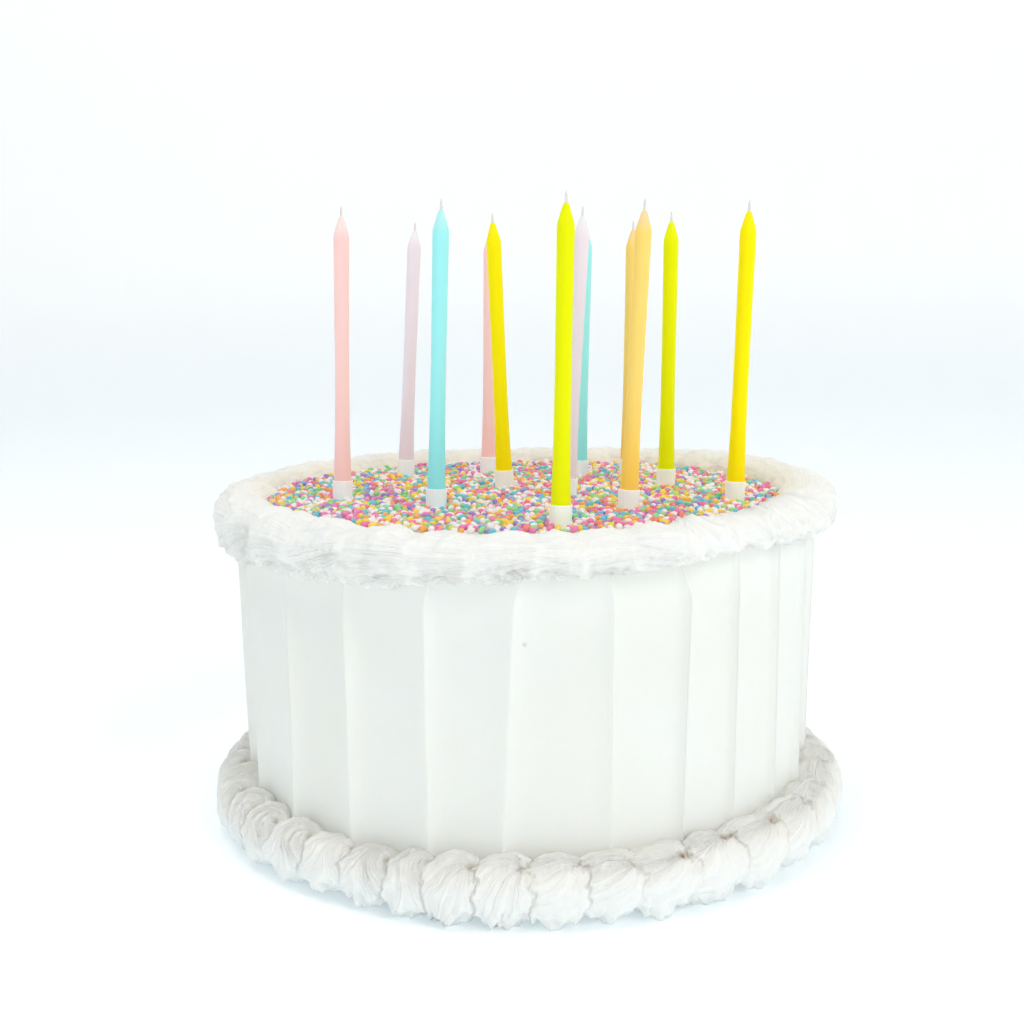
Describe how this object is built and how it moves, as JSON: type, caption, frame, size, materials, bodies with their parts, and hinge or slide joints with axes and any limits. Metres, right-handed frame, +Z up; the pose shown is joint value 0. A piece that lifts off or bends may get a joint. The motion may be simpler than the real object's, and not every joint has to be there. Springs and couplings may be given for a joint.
{
  "type": "birthday cake with candles",
  "caption": "Tall round uncut cake in white icing with a fluted side, piped shell borders at the top edge and the foot, sprinkles on top, and slim candles standing in plastic cups.",
  "frame": {"origin": "centre of the cake's flat base, on the surface that it stands on", "axes": "+Z up, -Y towards the front that the picture shows, +X towards the cake's right as seen from the front"},
  "size_m": [0.2022, 0.2033, 0.1925],
  "materials": {
    "icing": "smooth satin icing, combed in flutes, under sugar sprinkles",
    "piped_icing": "satin piped icing",
    "pink_wax": "satin candle wax",
    "lilac_wax": "satin candle wax",
    "aqua_wax": "satin candle wax",
    "yellow_wax": "satin candle wax",
    "lime_wax": "satin candle wax",
    "peach_wax": "satin candle wax",
    "cup_plastic": "milky translucent plastic",
    "wick": "waxed cotton"
  },
  "bodies": {
    "root": {"cake_body": "icing", "top_border": "piped_icing", "foot_border": "piped_icing", "cup_pink_1": "cup_plastic", "candle_pink_1": "pink_wax", "wick_pink_1": "wick", "cup_pink_2": "cup_plastic", "candle_pink_2": "pink_wax", "wick_pink_2": "wick", "cup_lilac_1": "cup_plastic", "candle_lilac_1": "lilac_wax", "wick_lilac_1": "wick", "cup_lilac_2": "cup_plastic", "candle_lilac_2": "lilac_wax", "wick_lilac_2": "wick", "cup_aqua_1": "cup_plastic", "candle_aqua_1": "aqua_wax", "wick_aqua_1": "wick", "cup_aqua_2": "cup_plastic", "candle_aqua_2": "aqua_wax", "wick_aqua_2": "wick", "cup_yellow_1": "cup_plastic", "candle_yellow_1": "yellow_wax", "wick_yellow_1": "wick", "cup_yellow_2": "cup_plastic", "candle_yellow_2": "yellow_wax", "wick_yellow_2": "wick", "cup_lime_1": "cup_plastic", "candle_lime_1": "lime_wax", "wick_lime_1": "wick", "cup_lime_2": "cup_plastic", "candle_lime_2": "lime_wax", "wick_lime_2": "wick", "cup_peach_1": "cup_plastic", "candle_peach_1": "peach_wax", "wick_peach_1": "wick", "cup_peach_2": "cup_plastic", "candle_peach_2": "peach_wax", "wick_peach_2": "wick"}
  },
  "joints": []
}
